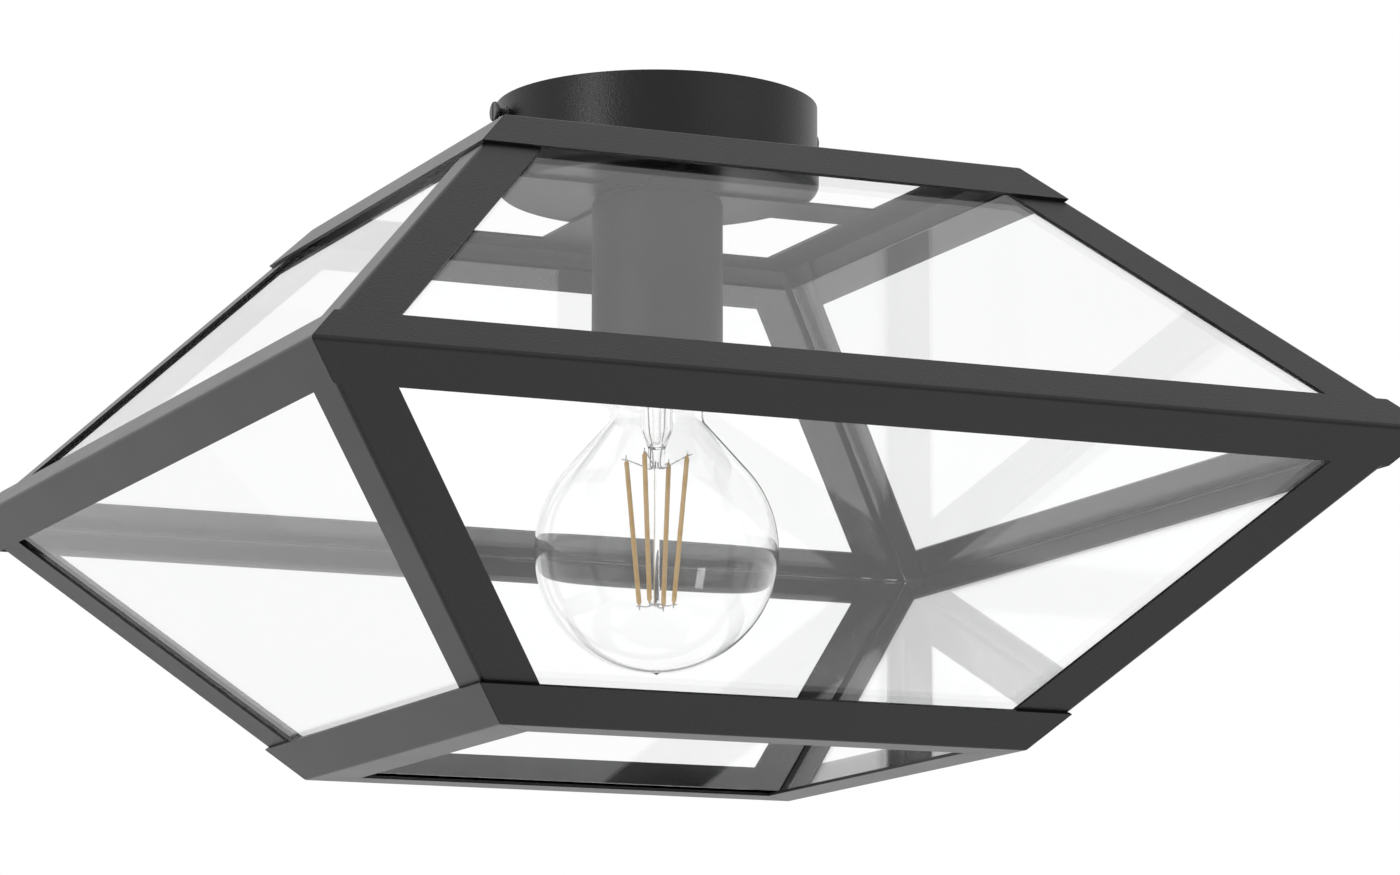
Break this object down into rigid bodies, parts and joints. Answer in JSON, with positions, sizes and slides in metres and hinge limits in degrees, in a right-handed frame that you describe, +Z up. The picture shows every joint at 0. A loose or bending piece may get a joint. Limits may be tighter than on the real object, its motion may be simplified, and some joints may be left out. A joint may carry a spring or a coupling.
{
  "type": "porch ceiling lantern",
  "caption": "Black two-tier square porch ceiling lantern with sloping clear glass panes, an open bottom, a round canopy and one clear globe filament lamp.",
  "frame": {"origin": "centre of the ceiling face, where the bracket and the canopy rim meet the ceiling", "axes": "+Z up into the ceiling, +X to the right along the front rails, -Y to the front"},
  "size_m": [0.4302, 0.4302, 0.258],
  "materials": {
    "black_coat": "fine orange-peel satin powder coat",
    "black_screw": "black painted steel",
    "pane_glass": "clear float glass with ground edges",
    "zinc_steel": "bright zinc plate",
    "green_screw": "green passivated earth screw",
    "black_moulding": "moulded phenolic",
    "ceramic": "unglazed white steatite",
    "contact_brass": "plain brass",
    "lamp_glass": "clear blown glass",
    "lamp_cap_metal": "bright drawn aluminium",
    "tip_solder": "dull solder",
    "cap_insulation": "black glass",
    "filament_coating": "amber phosphor silicone over ceramic strips",
    "support_wire": "bright nickel wire",
    "block_plastic": "natural nylon",
    "lead_black": "insulated lead",
    "lead_white": "insulated lead",
    "lead_green": "insulated lead"
  },
  "bodies": {
    "lantern": {"top_rail_front": "black_coat", "top_rail_right": "black_coat", "top_rail_back": "black_coat", "top_rail_left": "black_coat", "middle_rail_front": "black_coat", "middle_rail_right": "black_coat", "middle_rail_back": "black_coat", "middle_rail_left": "black_coat", "bottom_rail_front": "black_coat", "bottom_rail_right": "black_coat", "bottom_rail_back": "black_coat", "bottom_rail_left": "black_coat", "upper_pane_front": "pane_glass", "upper_pane_right": "pane_glass", "upper_pane_back": "pane_glass", "upper_pane_left": "pane_glass", "lower_pane_front": "pane_glass", "lower_pane_right": "pane_glass", "lower_pane_back": "pane_glass", "lower_pane_left": "pane_glass", "upper_hip_front_left": "black_coat", "upper_hip_front_right": "black_coat", "upper_hip_back_right": "black_coat", "upper_hip_back_left": "black_coat", "lower_hip_front_left": "black_coat", "lower_hip_front_right": "black_coat", "lower_hip_back_right": "black_coat", "lower_hip_back_left": "black_coat", "cross_plate": "black_coat", "canopy": "black_coat", "sleeve": "black_coat", "ceiling_bracket": "zinc_steel", "nipple": "zinc_steel", "upper_nut": "zinc_steel", "lower_nut": "zinc_steel", "lock_washer": "zinc_steel", "earth_tag": "zinc_steel", "earth_screw": "green_screw", "holder_shell": "black_moulding", "holder_dome": "black_moulding", "holder_insert": "ceramic", "centre_contact": "contact_brass", "side_contact": "contact_brass", "terminal_screws": "contact_brass", "terminal_block": "block_plastic", "lead_live": "lead_black", "lead_neutral": "lead_white", "lead_earth": "lead_green"},
    "lamp_carrier": {"bulb_tip": "tip_solder"},
    "lamp": {"bulb_glass": "lamp_glass", "bulb_cap": "lamp_cap_metal", "bulb_insulator": "cap_insulation", "glass_stem": "lamp_glass", "filaments": "filament_coating", "filament_wires": "support_wire"},
    "left_washer": {"side_washer_left": "black_screw"},
    "left_screw": {"side_screw_left": "black_screw"},
    "right_washer": {"side_washer_right": "black_screw"},
    "right_screw": {"side_screw_right": "black_screw"}
  },
  "joints": [
    {"name": "lamp_travel", "type": "slide", "parent": "lantern", "child": "lamp_carrier", "axis": [0, 0, -1], "range_m": [0, 0.0175]},
    {"name": "lamp_turn", "type": "hinge", "parent": "lamp_carrier", "child": "lamp", "pos_m": [0, 0, -0.1], "axis": [0, 0, -1], "range_deg": [0, 1740]},
    {"name": "left_screw_travel", "type": "slide", "parent": "lantern", "child": "left_washer", "axis": [-1, 0, 0], "range_m": [-0.0039, 0.0049]},
    {"name": "left_screw_turn", "type": "hinge", "parent": "left_washer", "child": "left_screw", "pos_m": [-0.0676, 0, -0.0076], "axis": [-1, 0, 0], "range_deg": [-2010, 2530]},
    {"name": "right_screw_travel", "type": "slide", "parent": "lantern", "child": "right_washer", "axis": [1, 0, 0], "range_m": [-0.0039, 0.0049]},
    {"name": "right_screw_turn", "type": "hinge", "parent": "right_washer", "child": "right_screw", "pos_m": [0.0676, 0, -0.0076], "axis": [1, 0, 0], "range_deg": [-2010, 2530]}
  ],
  "couplings": [
    {"joint": "lamp_turn", "follows": "lamp_travel", "rad_per_m": 1731.4},
    {"joint": "left_screw_turn", "follows": "left_screw_travel", "rad_per_m": 8976},
    {"joint": "right_screw_turn", "follows": "right_screw_travel", "rad_per_m": 8976}
  ]
}
